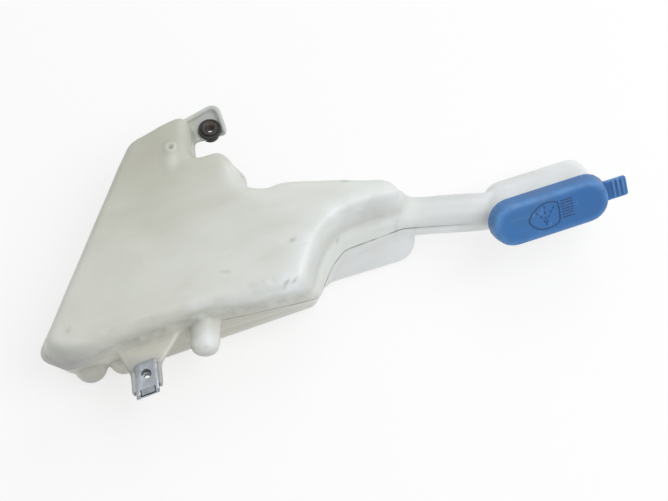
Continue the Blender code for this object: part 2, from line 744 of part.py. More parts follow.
def centre_on_floor(objects):
    """Move everything so that the origin is under the middle of the box, on the floor."""
    bpy.context.view_layer.update()
    points = [obj.matrix_world @ v.co for obj in objects for v in obj.data.vertices]
    low = Vector([min(p[i] for p in points) for i in range(3)])
    high = Vector([max(p[i] for p in points) for i in range(3)])
    shift = Vector((-(low.x + high.x) / 2, -(low.y + high.y) / 2, -low.z))
    for obj in objects:
        obj.location += shift
    bpy.context.view_layer.update()
    return shift / MILLIMETRE


def main():
    clear_scene()
    resin = material("milky_resin", (0.76, 0.77, 0.72), 0.45)
    blue = material("blue_plastic", (0.09, 0.24, 0.50), 0.40)
    rubber = material("black_rubber", (0.03, 0.03, 0.03), 0.75)
    steel = material("zinc_steel", (0.55, 0.57, 0.60), 0.35, 1.0)
    parts = [
        make_tank(resin),
        make_lid(blue),
        make_pin(steel),
        make_seal(rubber),
        make_bush(rubber),
        make_clip(steel),
        make_grommet(rubber),
    ]
    shift = centre_on_floor(parts)
    head = head_frame()
    hinge = lid_place().translation + shift
    print("shift", [round(value, 3) for value in shift])
    print("lid hinge at", [round(value, 3) for value in hinge])
    print("lid hinge axis", [round(-value, 5) for value in head.col[1].xyz])
    return parts


main()
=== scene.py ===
# %% [markdown]
# This lesson dresses a washer fluid reservoir, the tank that holds the water for a windscreen washer.
# It is one hollow blow-moulded shell of milky resin with a blue hinged filler lid, a rubber bush and a
# sheet metal clip nut. The solids come from the imported frame, and every visible piece rides on them.

# %% Load the frame
import math

import bmesh
import bpy
import numpy as np
from mathutils import Matrix, Vector


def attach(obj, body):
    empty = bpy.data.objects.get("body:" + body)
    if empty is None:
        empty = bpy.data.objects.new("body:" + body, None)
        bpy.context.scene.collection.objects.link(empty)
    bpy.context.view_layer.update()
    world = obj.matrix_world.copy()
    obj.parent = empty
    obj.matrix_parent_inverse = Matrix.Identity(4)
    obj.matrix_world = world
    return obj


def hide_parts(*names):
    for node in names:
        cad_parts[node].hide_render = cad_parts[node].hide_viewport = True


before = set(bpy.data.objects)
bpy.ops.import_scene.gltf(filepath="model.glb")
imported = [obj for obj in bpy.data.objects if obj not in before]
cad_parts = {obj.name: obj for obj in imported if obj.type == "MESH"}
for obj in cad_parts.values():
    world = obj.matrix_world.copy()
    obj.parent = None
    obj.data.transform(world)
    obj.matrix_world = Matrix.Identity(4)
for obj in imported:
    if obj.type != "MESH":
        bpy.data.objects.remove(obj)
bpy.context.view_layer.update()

# %% [markdown]
# The photograph looks down on the tank as it lies on its back. Its source was drawn in millimetres about
# another origin, so one helper turns a drawing point into a place in the frame. The same helper then
# gives the camera its target. The lens follows from the photograph: how strongly its lines converge
# gives the focal length in pixels, and the picture's width turns that into a lens for our sensor.

# %% Places and camera
MM = 0.001
SHIFT = Vector((-4.894, 2.046, 0.0))
ELEVATION = math.radians(65)
DISTANCE = 1.3
SENSOR = 36
FOCAL_PIXELS = 1625
PHOTO_WIDTH_PIXELS = 668


def place(x, y, z):
    """A point of the drawing, in millimetres, as a place in the frame, in metres."""
    return (Vector((x, y, z)) + SHIFT) * MM


def new_object(name, data):
    """An object with this data, linked into the scene."""
    made = bpy.data.objects.new(name, data)
    bpy.context.scene.collection.objects.link(made)
    return made


target = place(0, 0, 40)
camera_data = bpy.data.cameras.new("photo camera")
camera_data.sensor_width = SENSOR
camera_data.lens = SENSOR * FOCAL_PIXELS / PHOTO_WIDTH_PIXELS
camera = new_object("photo camera", camera_data)
camera.location = target + DISTANCE * Vector((0, -math.cos(ELEVATION), math.sin(ELEVATION)))
camera.rotation_euler = (math.pi / 2 - ELEVATION, 0, 0)
bpy.context.scene.camera = camera
bpy.context.scene.view_settings.view_transform = "Standard"
print("camera at", [round(v, 3) for v in camera.location])

# %% [markdown]
# Shader trees grow long when each node, value and link has a line of its own. A few helpers make them
# read like formulas: one fills a node's inputs, one adds a node with its inputs filled, and one does a
# sum. An input that is given a socket is linked to it, and any other value is simply set.

# %% Nodes in short
def feed(tree, node, inputs):
    """Link or set each input: a socket is linked, anything else becomes its value."""
    for key, value in inputs.items():
        if isinstance(value, bpy.types.NodeSocket):
            tree.links.new(value, node.inputs[key])
        else:
            node.inputs[key].default_value = value


def new_node(tree, kind, inputs=None, **settings):
    made = tree.nodes.new(kind)
    for key, value in settings.items():
        setattr(made, key, value)
    feed(tree, made, inputs or {})
    return made


def add(tree, kind, inputs=None, **settings):
    """A new shader node, which geometry trees can hold too."""
    return new_node(tree, "ShaderNode" + kind, inputs, **settings)


def maths(tree, operation, *values):
    """The result of one Math node over sockets or numbers."""
    return add(tree, "Math", dict(enumerate(values)), operation=operation).outputs[0]


# %% [markdown]
# A milky tank shows its form only under soft light from one side. One large lamp stands high to the
# right, a weak one behind brightens the far edges, and the world fills the rest. A camera ray sees the
# world as plain white, so the background is bright and yet no more light reaches the tank.

# %% Lamps and world
WHITE = (1, 1, 1, 1)
WORLD_LIGHT = 0.62


def seen_directly(tree):
    """1 for a ray from the camera, a reflection or through glass, and 0 for a ray that lights."""
    path = add(tree, "LightPath").outputs
    seen = maths(tree, "MAXIMUM", path["Is Camera Ray"], path["Is Glossy Ray"])
    return maths(tree, "MAXIMUM", seen, path["Is Transmission Ray"])


def lamp(name, where, size, watts):
    """A round lamp that faces the tank."""
    data = bpy.data.lights.new(name, "AREA")
    data.shape = "DISK"
    data.size = size
    data.energy = watts
    made = new_object(name, data)
    made.location = where
    made.rotation_mode = "QUATERNION"
    made.rotation_quaternion = Vector(where).to_track_quat("Z", "Y")
    print(name, "of", watts, "W at", where)


lamp("soft lamp", where=(0.80, -0.15, 1.48), size=1.3, watts=11.8)
lamp("back lamp", where=(0.30, 1.10, 1.20), size=0.9, watts=3.5)
world = bpy.data.worlds.new("studio")
world.use_nodes = True
bpy.context.scene.world = world
tree = world.node_tree
tree.nodes.clear()
soft = add(tree, "Background", {"Color": WHITE, "Strength": WORLD_LIGHT})
white = add(tree, "Background", {"Color": WHITE, "Strength": 1.0})
mixed = add(tree, "MixShader", {0: seen_directly(tree), 1: soft.outputs[0], 2: white.outputs[0]})
add(tree, "OutputWorld", {"Surface": mixed.outputs[0]})

# %% [markdown]
# The tank needs a floor to cast its shadow on, but a grey floor would not match the photograph's white
# background. The floor's paint therefore glows a little for camera rays alone, which keeps the shadow.

# %% Floor
FLOOR_GLOW = 0.7


def mesh_object(name, bm):
    """An object made of a bmesh, which is freed."""
    mesh = bpy.data.meshes.new(name)
    bm.to_mesh(mesh)
    bm.free()
    return new_object(name, mesh)


bm = bmesh.new()
bmesh.ops.create_grid(bm, x_segments=1, y_segments=1, size=6)
floor = mesh_object("floor", bm)
floor_paint = bpy.data.materials.new("floor paint")
floor_paint.use_nodes = True
tree = floor_paint.node_tree
matt = tree.nodes["Principled BSDF"]
feed(tree, matt, {"Base Color": (0.9, 0.9, 0.9, 1), "Roughness": 0.9})
glow = add(tree, "Emission", {"Color": WHITE, "Strength": 1.0})
share = maths(tree, "MULTIPLY", seen_directly(tree), FLOOR_GLOW)
mixed = add(tree, "MixShader", {0: share, 1: matt.outputs[0], 2: glow.outputs[0]})
feed(tree, tree.nodes["Material Output"], {"Surface": mixed.outputs[0]})
floor.data.materials.append(floor_paint)
print("floor reaches", round(max(v.co.x for v in floor.data.vertices), 1), "m to each side")

# %% [markdown]
# Moulded plastic, rubber and plated steel all carry a fine grain, and they gather soft cloudy stains,
# thin scuffs, rubbed edges and dirty corners; the edge and corner layer also paints highlight on outer
# edges and shade in inner corners. Each of these effects is a node group with named inputs, built once
# and placed in every material that needs it with its own values. Noise gives the pattern of each, and a
# ramp picks how much of the noise shows.

# %% Groups, noise and ramps
def group(family, name, inputs, outputs):
    """A node tree with named sockets; returns it with its input sockets and its output node.

    An input that is given as a number is a Float with that default; a word is the socket's kind.
    """
    made = bpy.data.node_groups.new(name, family + "NodeTree")
    for label, value in inputs.items():
        kind = value if isinstance(value, str) else "Float"
        socket = made.interface.new_socket(label, in_out="INPUT", socket_type="NodeSocket" + kind)
        if kind == "Float":
            socket.default_value = value
    for label, kind in outputs.items():
        made.interface.new_socket(label, in_out="OUTPUT", socket_type="NodeSocket" + kind)
    return made, made.nodes.new("NodeGroupInput").outputs, made.nodes.new("NodeGroupOutput")


def noisy(tree, vector, scale, detail, **more):
    """The value of a noise texture."""
    return add(tree, "TexNoise", {"Vector": vector, "Scale": scale, "Detail": detail, **more}).outputs["Fac"]


def ramp(tree, value, low=0.0, high=1.0, bottom=0.0, top=1.0, curve="LINEAR"):
    """A value from low to high laid over bottom to top, and held level beyond them."""
    inputs = {"Value": value, "From Min": low, "From Max": high, "To Min": bottom, "To Max": top}
    return add(tree, "MapRange", inputs, interpolation_type=curve).outputs["Result"]


def drawn_out(tree, vector, **inputs):
    """The vector turned, shifted and stretched, so that a pattern on it becomes streaks."""
    return add(tree, "Mapping", {"Vector": vector, **inputs}, vector_type="TEXTURE").outputs["Vector"]


# %% [markdown]
# Grain adds a fine noise to a coarse one. A cloudy stain is noise with its contrast raised. Scuffs are
# noise drawn out into streaks in two directions, shown only in patches. The edge layer takes the shares
# of edge and crease that the mesh will carry, and breaks them up: rubbing with painted highlight on the
# edges, dirt with painted shade in the creases. Object coordinates are in metres, so a scale of 900
# gives grains about a millimetre across.

# %% Shared surface effects
def grain_group():
    tree, given, end = group("Shader", "surface grain", {"Vector": "Vector", "Scale": 900.0},
                             {"Height": "Float"})
    fine = noisy(tree, given["Vector"], given["Scale"], 3.0, Roughness=0.6)
    coarse = noisy(tree, given["Vector"], maths(tree, "MULTIPLY", given["Scale"], 0.12), 2.0)
    feed(tree, end, {"Height": maths(tree, "MULTIPLY_ADD", coarse, 1.6, fine)})
    return tree


def cloud_group():
    tree, given, end = group("Shader", "cloudy stain",
                             {"Vector": "Vector", "Scale": 12.0, "Low": 0.45, "High": 0.65},
                             {"Mask": "Float"})
    cloud = noisy(tree, given["Vector"], given["Scale"], 4.0, Roughness=0.55, Distortion=0.4)
    feed(tree, end, {"Mask": ramp(tree, cloud, given["Low"], given["High"], curve="SMOOTHSTEP")})
    return tree


def scuff_group():
    tree, given, end = group("Shader", "thin scuffs", {"Vector": "Vector", "Scale": 40.0, "Amount": 0.5},
                             {"Mask": "Float"})
    streaks = []
    for turn, offset in ((0.4, 0.0), (1.9, 3.1)):
        vector = drawn_out(tree, given["Vector"], Rotation=(0.3, 0.2, turn), Location=(offset, 0, 0),
                           Scale=(4.5, 0.3, 1.0))
        streaks.append(ramp(tree, noisy(tree, vector, given["Scale"], 2.0), 0.68, 0.76))
    patches = ramp(tree, noisy(tree, given["Vector"], 22.0, 1.0), 0.5, 0.62)
    shown = maths(tree, "MULTIPLY", maths(tree, "MAXIMUM", *streaks), patches)
    feed(tree, end, {"Mask": maths(tree, "MULTIPLY", shown, given["Amount"])})
    return tree


def wear_and_light_group():
    tree, given, end = group("Shader", "edge wear",
                             {"Vector": "Vector", "Scale": 90.0, "Edge": 0.0, "Rubbed": 0.5,
                              "Crease": 0.0, "Dirty": 0.5},
                             {"Rubbed Mask": "Float", "Dirty Mask": "Float"})
    cloud = noisy(tree, given["Vector"], given["Scale"], 3.0, Roughness=0.6)
    broken = ramp(tree, cloud, 0.36, 0.60, bottom=0.5)
    # Outer edges: rubbing and painted highlight; creases: dirt and painted shade.
    for share, amount, mask in (("Edge", "Rubbed", "Rubbed Mask"), ("Crease", "Dirty", "Dirty Mask")):
        some = maths(tree, "MULTIPLY", given[share], given[amount])
        feed(tree, end, {mask: maths(tree, "MULTIPLY", some, broken)})
    return tree


GRAIN, CLOUD, SCUFF, WEAR_AND_LIGHT = grain_group(), cloud_group(), scuff_group(), wear_and_light_group()
print("effects", [effect.name for effect in (GRAIN, CLOUD, SCUFF, WEAR_AND_LIGHT)])

# %% [markdown]
# Every material here is a Principled shader whose colour is built up in layers, as stains settle on the
# real thing: each layer tints the colour so far towards a shade wherever its mask is 1, and some layers
# are painted highlight or painted shade. What follows the shape, such as rubbed and highlit edges and
# dirty and shaded creases, is read from attributes that will be stored on the mesh.

# %% Layers of colour
def new_material(name):
    """A material, its tree, its Principled shader and the object coordinates."""
    made = bpy.data.materials.new(name)
    made.use_nodes = True
    tree = made.node_tree
    where = add(tree, "TexCoord").outputs["Object"]
    return made, tree, tree.nodes["Principled BSDF"], where


def use(tree, effect, vector, **values):
    """The outputs of a shared effect placed in this tree with its own values."""
    made = tree.nodes.new("ShaderNodeGroup")
    made.node_tree = effect
    feed(tree, made, {"Vector": vector, **values})
    return made.outputs


def tint(tree, colour, mask, shade):
    made = add(tree, "Mix", data_type="RGBA")
    feed(tree, made, {0: mask, 6: colour, 7: shade})
    return made.outputs[2]


def stored(tree, name):
    """The value of an attribute stored on the mesh."""
    return add(tree, "Attribute", attribute_name=name).outputs["Fac"]


def worn_with_painted_light(tree, colour, where, rubbed_and_lit_colour, dirt_and_shade_colour, **amounts):
    """The colour with its outer edges rubbed and lit by a painted highlight, and its corners dirty and
    darkened by painted shade.
    """
    wear_and_light = use(tree, WEAR_AND_LIGHT, where, Edge=stored(tree, "edge"), Crease=stored(tree, "crease"), **amounts)
    # Lighter outer edges, partly rubbed and partly painted highlight; darker creases, partly dirt and partly
    # painted shade.
    colour = tint(tree, colour, wear_and_light["Rubbed Mask"], rubbed_and_lit_colour)
    return tint(tree, colour, wear_and_light["Dirty Mask"], dirt_and_shade_colour)


def grained(tree, shader, where, scale, depth, strength):
    """Give the shader the shared grain as a bump."""
    grain = use(tree, GRAIN, where, Scale=scale)
    bump = add(tree, "Bump", {"Height": grain["Height"], "Distance": depth, "Strength": strength})
    feed(tree, shader, {"Normal": bump.outputs["Normal"]})


# %% [markdown]
# The clean resin isn't one colour. It turns olive towards the sump end, partly yellowed resin and partly
# painted shade, the neck is greyer, and the filler head and the right end of the back half are paler. The
# far left of the tank is darker, partly aged resin and partly painted shade. Over that lie large clouds
# and a finer mottling, drawn out as wiping leaves it, which is strongest where the far left is darkest.
# The ear is tinted bluish grey and the lug darker grey, and the near wall is brown, partly road dirt and
# partly painted shade under the roll of the front face.

# %% Tones of the resin
TONES = {"sump end": (0.620, 0.635, 0.580, 1), "middle": (0.695, 0.722, 0.705, 1),
         "neck": (0.640, 0.660, 0.658, 1), "head": (0.785, 0.825, 0.865, 1),
         "pale": (0.790, 0.815, 0.820, 1), "aged_and_shaded": (0.430, 0.435, 0.360, 1),
         "cloudy": (0.505, 0.520, 0.450, 1), "mottled": (0.450, 0.450, 0.370, 1),
         "ear": (0.400, 0.440, 0.455, 1), "road dirt and shade": (0.520, 0.485, 0.405, 1),
         "lug": (0.325, 0.333, 0.330, 1), "painted_highlight": (0.800, 0.845, 0.860, 1),
         "grime_and_shade": (0.210, 0.200, 0.165, 1), "line": (0.190, 0.188, 0.175, 1),
         "scuff": (0.30, 0.29, 0.26, 1), "rubbed_and_lit": (0.760, 0.780, 0.760, 1),
         "dirt_and_shade": (0.290, 0.275, 0.225, 1)}


def clean_resin(tree, at):
    # Olive towards the sump end: partly yellowed resin, partly painted shade.
    along = ramp(tree, at["X"], -0.17, 0.09, curve="SMOOTHSTEP")
    colour = tint(tree, TONES["sump end"], along, TONES["middle"])
    colour = tint(tree, colour, ramp(tree, at["X"], 0.055, 0.075), TONES["neck"])
    colour = tint(tree, colour, ramp(tree, at["X"], 0.100, 0.135), TONES["head"])
    back_half = ramp(tree, at["Z"], 0.050, 0.047)
    right_end = ramp(tree, at["X"], -0.040, 0.020)
    return tint(tree, colour, maths(tree, "MULTIPLY", back_half, right_end), TONES["pale"])


def aged_and_shaded_resin(tree, colour, where, at, cloud):
    # Darker towards the far left: partly aged resin, partly painted shade.
    aged_and_shaded = maths(tree, "MULTIPLY", ramp(tree, at["Y"], -0.03, 0.08), ramp(tree, at["X"], -0.06, -0.15))
    colour = tint(tree, colour, aged_and_shaded, TONES["aged_and_shaded"])
    colour = tint(tree, colour, maths(tree, "MULTIPLY", cloud, 0.38), TONES["cloudy"])
    wiped = drawn_out(tree, where, Rotation=(0, 0, 0.35), Scale=(2.4, 0.8, 1.0))
    mottle = use(tree, CLOUD, wiped, Scale=30.0, Low=0.44, High=0.68)["Mask"]
    slight = maths(tree, "MULTIPLY", mottle, ramp(tree, aged_and_shaded, bottom=0.17, top=0.52))
    return tint(tree, colour, slight, TONES["mottled"])


def soiled_and_shaded_resin(tree, colour, at):
    past_step = ramp(tree, at["X"], -0.124, -0.114)
    ear = maths(tree, "MULTIPLY", past_step, ramp(tree, at["Y"], 0.086, 0.094, top=0.6))
    colour = tint(tree, colour, ear, TONES["ear"])
    # Brown on the low near wall: partly road dirt, partly painted shade under the front face's roll.
    low, near = ramp(tree, at["Z"], 0.062, 0.046), ramp(tree, at["Y"], -0.032, -0.056)
    low_and_near = maths(tree, "MULTIPLY", low, near)
    soiled_and_shaded = maths(tree, "MULTIPLY", low_and_near, ramp(tree, at["X"], 0.010, -0.030, top=0.60))
    colour = tint(tree, colour, soiled_and_shaded, TONES["road dirt and shade"])
    return tint(tree, colour, ramp(tree, at["Y"], -0.091, -0.106), TONES["lug"])


# %% [markdown]
# Three stored attributes steer the last layers: a painted highlight whitens the crest of the front face,
# grime and painted shade sit in specks, and the parting line, where the two halves of the mould met, is
# darkened with gaps, partly by dirt and partly as painted shadow beside its raised line. Polyethylene also
# lets some light in below its surface, so its shadows stay soft and pale, and the shader gets a little
# subsurface light for that.

# %% Milky resin
PARTING = 0.050


def marks_and_painted_light(tree, colour, where, at):
    cloud = use(tree, CLOUD, where, Scale=48.0, Low=0.34, High=0.60)["Mask"]
    patchy = ramp(tree, cloud, bottom=0.40, top=1.25)
    # Painted highlight on the crest of the front face, broken into patches.
    colour = tint(tree, colour, maths(tree, "MULTIPLY", stored(tree, "painted_highlight"), patchy), TONES["painted_highlight"])
    specks = use(tree, CLOUD, where, Scale=120.0, Low=0.28, High=0.66)["Mask"]
    # Grime in specks, partly real grime and partly painted shade in hollows and along the near wall.
    colour = tint(tree, colour, maths(tree, "MULTIPLY", specks, stored(tree, "grime_and_shade")), TONES["grime_and_shade"])
    # The parting line darkened with gaps: partly dirt, partly painted shadow beside the raised line.
    away = maths(tree, "ABSOLUTE", maths(tree, "SUBTRACT", at["Z"], PARTING))
    gaps = use(tree, CLOUD, where, Scale=42.0, Low=0.32, High=0.60)["Mask"]
    line = maths(tree, "MULTIPLY", ramp(tree, away, 0.00055, 0.0002), gaps)
    return tint(tree, colour, maths(tree, "MULTIPLY", line, stored(tree, "seam")), TONES["line"])


def milky_resin():
    made, tree, shader, where = new_material("milky resin")
    at = add(tree, "SeparateXYZ", {0: where}).outputs
    cloud = use(tree, CLOUD, where, Scale=9.0, Low=0.40, High=0.68)["Mask"]
    colour = aged_and_shaded_resin(tree, clean_resin(tree, at), where, at, cloud)
    colour = marks_and_painted_light(tree, soiled_and_shaded_resin(tree, colour, at), where, at)
    scuff = use(tree, SCUFF, where, Scale=60.0, Amount=0.08)["Mask"]
    colour = tint(tree, colour, scuff, TONES["scuff"])
    colour = worn_with_painted_light(tree, colour, where, TONES["rubbed_and_lit"], TONES["dirt_and_shade"], Scale=70.0, Rubbed=0.18, Dirty=0.32)
    feed(tree, shader, {"Base Color": colour, "Roughness": ramp(tree, cloud, bottom=0.36, top=0.48),
                        "Subsurface Weight": 0.25, "Subsurface Radius": (1.0, 0.9, 0.7),
                        "Subsurface Scale": 0.006})
    grained(tree, shader, where, scale=700.0, depth=0.00012, strength=0.4)
    return made


RESIN = milky_resin()
print(RESIN.name, "has", len(RESIN.node_tree.nodes), "nodes")

# %% [markdown]
# A blow-moulded shell has no sharp edge: wherever neck, ear or lug meets the tank the resin has drawn
# into a soft hollow. The frame's tank is a hard-edged solid, so its copy is merged and remeshed into
# small even cells, and then smoothed, which rounds every join a little as the mould does.

# %% Tank shell
CELL = 0.0013


def merged_copy(node, name):
    """A copy of one of the frame's solids with its loose triangles joined."""
    bm = bmesh.new()
    bm.from_mesh(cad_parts[node].data)
    bmesh.ops.remove_doubles(bm, verts=bm.verts[:], dist=1e-6)
    return mesh_object(name, bm)


def applied(obj):
    """The object's modifiers made part of a plain mesh."""
    bpy.context.view_layer.update()
    evaluated = obj.evaluated_get(bpy.context.evaluated_depsgraph_get())
    mesh = bpy.data.meshes.new_from_object(evaluated)
    mesh.name = obj.name
    obj.modifiers.clear()
    obj.data = mesh
    return obj


def add_smooth(obj, factor, rounds):
    smooth = obj.modifiers.new("smooth", "SMOOTH")
    smooth.factor = factor
    smooth.iterations = rounds
    return smooth


def soft_shell(obj, cell, rounds):
    """The object remeshed into even cells and smoothed."""
    remesh = obj.modifiers.new("cells", "REMESH")
    remesh.mode = "VOXEL"
    remesh.voxel_size = cell
    add_smooth(obj, 0.5, rounds)
    return applied(obj)


shell = soft_shell(merged_copy("tank", "tank_shell"), CELL, rounds=6)
print("shell cells", len(shell.data.polygons))

# %% [markdown]
# Around the front face the resin has rolled over in a wide soft curve, much wider than a small fillet.
# A weight that grows with height keeps the neck, the ear, the lug and the steep end wall out of it, and
# many rounds of smoothing under that weight draw only the upper edges in.

# %% Wide roll-over round the front face
END_WALL_AT = (-166, 83)
END_WALL_OUT = (-0.944, 0.330)
LEVELS = 10


def read_points(mesh):
    """Vertex places in drawing millimetres, and vertex normals, as arrays."""
    places = np.empty(len(mesh.vertices) * 3)
    normals = np.empty(len(mesh.vertices) * 3)
    mesh.vertices.foreach_get("co", places)
    mesh.vertices.foreach_get("normal", normals)
    return places.reshape(-1, 3) / MM - np.array(SHIFT), normals.reshape(-1, 3)


def step_up(values, low, high):
    """0 at low, 1 at high and smooth between; it falls where low is above high."""
    share = np.clip((values - low) / (high - low), 0.0, 1.0)
    return share * share * (3 - 2 * share)


def smooth_where(obj, weight, rounds):
    """Smooth a mesh under a weight per point, for so many rounds."""
    members = obj.vertex_groups.new(name="share")
    for level in range(1, LEVELS + 1):
        chosen = np.nonzero(np.round(weight * LEVELS) == level)[0]
        members.add(chosen.tolist(), level / LEVELS, "REPLACE")
    add_smooth(obj, 0.6, rounds).vertex_group = members.name
    applied(obj)
    obj.vertex_groups.clear()
    print("smoothed", int((weight > 0.05).sum()), "of", len(weight), "points of", obj.name)


x, y, z = read_points(shell.data)[0].T
from_end_wall = -(x - END_WALL_AT[0]) * END_WALL_OUT[0] - (y - END_WALL_AT[1]) * END_WALL_OUT[1]
left_of_neck = step_up(x, 72, 58)
smooth_where(shell, step_up(z, 52, 66) * left_of_neck * step_up(from_end_wall, 4, 14), rounds=70)

# %% [markdown]
# Smaller places were drawn thin over the mould and have lost their corners too: the rim of the mounting
# ear, both ends of the filler neck, and most of all the closed end of the locating peg. Two far corners
# of the front face, one beside the neck and one over the end wall, are rounder than the rest.

# %% Soft ear, neck, peg and far corners
x, y, z = read_points(shell.data)[0].T
ear = step_up(x, -126, -120) * step_up(y, 86, 92)
neck_root = step_up(x, 52, 60) * step_up(x, 92, 80)
neck_end = step_up(np.hypot(np.hypot(x - 124, y - 33), z - 46), 27, 20)
peg = step_up(y, -74, -82) * step_up(x, -116, -110) * step_up(x, -82, -88)
peg_end = peg * step_up(y, -82, -88)
beside_neck = step_up(x, 34, 46) * step_up(y, 26, 36) * step_up(x, 84, 76)
over_end_wall = step_up(np.hypot(x + 163, y - 82), 27, 14)
smooth_where(shell, np.max((ear, neck_root, peg, neck_end), axis=0), rounds=16)
smooth_where(shell, peg_end, rounds=40)
smooth_where(shell, beside_neck, rounds=60)
smooth_where(shell, over_end_wall, rounds=60)

# %% [markdown]
# No blown wall is flat. The photograph shows a soft crest that turns round the step, hollows beside it,
# an oval boss, and a small blow pin scar with a ring round it. Each is a smooth field over the drawing's
# plan: the distance to a line of points for the crest, and a mound that fades like a bell for an oval.

# %% Fields over the front face
CREST = [(48, 33), (12, 21), (-6, 9), (-16, -5), (-21, -22), (-26, -34), (-34, -47)]


def bell(values, middle, width):
    """1 at the middle, fading to 0 on both sides of it."""
    return np.exp(-((values - middle) / width) ** 2)


def along_path(places, path):
    """Distance in plan from each point to a line of points."""
    best = np.full(len(places), np.inf)
    for (ax, ay), (bx, by) in zip(path, path[1:]):
        span = np.array([bx - ax, by - ay])
        offset = places[:, :2] - np.array([ax, ay])
        share = np.clip(offset @ span / (span @ span), 0, 1)
        best = np.minimum(best, np.linalg.norm(offset - share[:, None] * span, axis=1))
    return best


def mound(places, x, y, wide, high, turn=0.0):
    """1 in the middle of an oval, fading to 0 outside it."""
    c, s = math.cos(math.radians(turn)), math.sin(math.radians(turn))
    dx, dy = places[:, 0] - x, places[:, 1] - y
    u, v = (dx * c + dy * s) / wide, (dy * c - dx * s) / high
    return np.exp(-(u * u + v * v))


# %% [markdown]
# Every point of the front face moves along its own normal by the sum of the fields. Points of the wall's
# inner face move the other way along theirs, so the wall stays as thick as it was. Three slow waves are
# added, because cooling resin shrinks unevenly. In the lists below an oval is its place, its half width
# and half height and its turn in degrees, and a hollow adds its depth.

# %% Crest, hollows, boss and waves
HOLLOWS = [(27, 17, 18, 8, 15, 1.8), (-13, -27, 6, 13, -12, 1.5), (-38, -44, 20, 8, 14, 0.8),
           (-150, 20, 30, 40, 0, 0.7), (-70, -10, 35, 18, 20, 0.6), (5, 30, 24, 9, 5, 0.5)]
BOSS = (-129, 61.8, 5.5, 9.0)
PIN_SCAR = (-130.1, 71.7)
FACE_SUNK = 1.2
WAVES = [{"length": 61.0, "turn": 0.3, "size": 0.22}, {"length": 37.0, "turn": 1.3, "size": 0.16},
         {"length": 23.0, "turn": 2.4, "size": 0.10}]

places, normals = read_points(shell.data)
x, y, z = places.T
front = step_up(z, 54, 60) * step_up(x, 76, 66)
outer_or_inner = step_up(normals[:, 2], 0.05, 0.35) - step_up(-normals[:, 2], 0.05, 0.35)
move = 0.7 * bell(along_path(places, CREST), 0, 6.5)
for *oval, depth in HOLLOWS:
    move -= depth * mound(places, *oval)
move += 1.9 * mound(places, *BOSS) - FACE_SUNK
ring = np.hypot(x - PIN_SCAR[0], y - PIN_SCAR[1])
move += 0.8 * bell(ring, 3.6, 1.3) - 1.5 * bell(ring, 0, 1.6)
for wave in WAVES:
    phase = (x * math.cos(wave["turn"]) + y * math.sin(wave["turn"])) * 2 * math.pi / wave["length"]
    move += wave["size"] * np.sin(phase + 0.8 * np.sin(y / 19.0))
move *= front * outer_or_inner
places += normals * move[:, None]
print("moved by", round(move.min(), 2), "to", round(move.max(), 2), "mm")

# %% [markdown]
# Above the peg and the lug the near wall is drawn in, so the front half looks pinched there. Both faces
# of the wall move together, which keeps its thickness, and the peg outside the wall stays where it is.
# A last smoothing of this stretch gives the face its very wide roll down to the lug.

# %% Drawn-in near wall
NEAR_WALL = [(-204, -106), (-164, -92), (-112, -71), (-11, -46)]
PEG_AT = (-98, -84)


def write_points(mesh, places):
    mesh.vertices.foreach_set("co", ((places + np.array(SHIFT)) * MM).ravel())
    mesh.update()


x, y, z = places.T
beyond = np.interp(x, *zip(*NEAR_WALL)) - y
depth = step_up(x, -195, -170) * step_up(x, -60, -88) * (2.8 + 1.6 * bell(x, PEG_AT[0], 14))
through_wall = step_up(beyond, 5, 1) * step_up(beyond, -14, -9)
places[:, 1] += depth * through_wall * bell(z, 61, 7.0)
write_points(shell.data, places)
print("near wall drawn in by up to", round(float(depth.max()), 2), "mm")
roll = step_up(beyond, 2.5, 0.5) * step_up(beyond, -34, -16) * step_up(z, 52, 57)
smooth_where(shell, roll * step_up(x, -200, -180) * step_up(x, -52, -80), rounds=130)

# %% [markdown]
# The materials lighten outer edges, partly as rubbing and partly as painted highlight, and darken inner
# corners, partly as dirt and partly as painted shade. Both can be measured: after a few rounds of
# smoothing a point on an outer edge has sunk in and one in a corner has come out.
# The distance it moved along its normal is stored for the materials as "edge" or "crease". The cells are
# much denser than the flat walls need, so Decimate then merges them where the shape is flat.

# %% Edges, creases and fewer cells
TRIANGLE_LIMIT = 190000


def store(mesh, name, values):
    """Keep a value from 0 to 1 for each point of the mesh."""
    attribute = mesh.attributes.new(name, "FLOAT", "POINT")
    attribute.data.foreach_set("value", np.clip(values, 0, 1).astype(np.float32))


def store_edges_and_creases(obj, rounds, reach):
    """Store edge and crease, each 1 where smoothing moves a point by reach millimetres."""
    trial = new_object("trial", obj.data.copy())
    add_smooth(trial, 0.5, rounds)
    applied(trial)
    places, normals = read_points(obj.data)
    sunk = ((places - read_points(trial.data)[0]) * normals).sum(axis=1)
    bpy.data.objects.remove(trial, do_unlink=True)
    store(obj.data, "edge", sunk / reach)
    store(obj.data, "crease", -sunk / reach)
    edges, creases = int((sunk > reach / 2).sum()), int((sunk < -reach / 2).sum())
    print(obj.name, "edge points", edges, "crease points", creases)


store_edges_and_creases(shell, rounds=16, reach=0.30)
fewer = shell.modifiers.new("fewer cells", "DECIMATE")
fewer.ratio = min(1.0, TRIANGLE_LIMIT / (2 * len(shell.data.polygons)))
applied(shell)
print("shell faces kept", len(shell.data.polygons))

# %% [markdown]
# Two more attributes mark the front face. A painted highlight whitens the crest, and also the near edge,
# the boss, a patch in front of the ear and the top of the peg. Grime has settled in short scars and scuffs,
# and the same mark, partly grime and partly painted shade, darkens the near wall's roll, the three deepest
# hollows and the corner beside the peg.

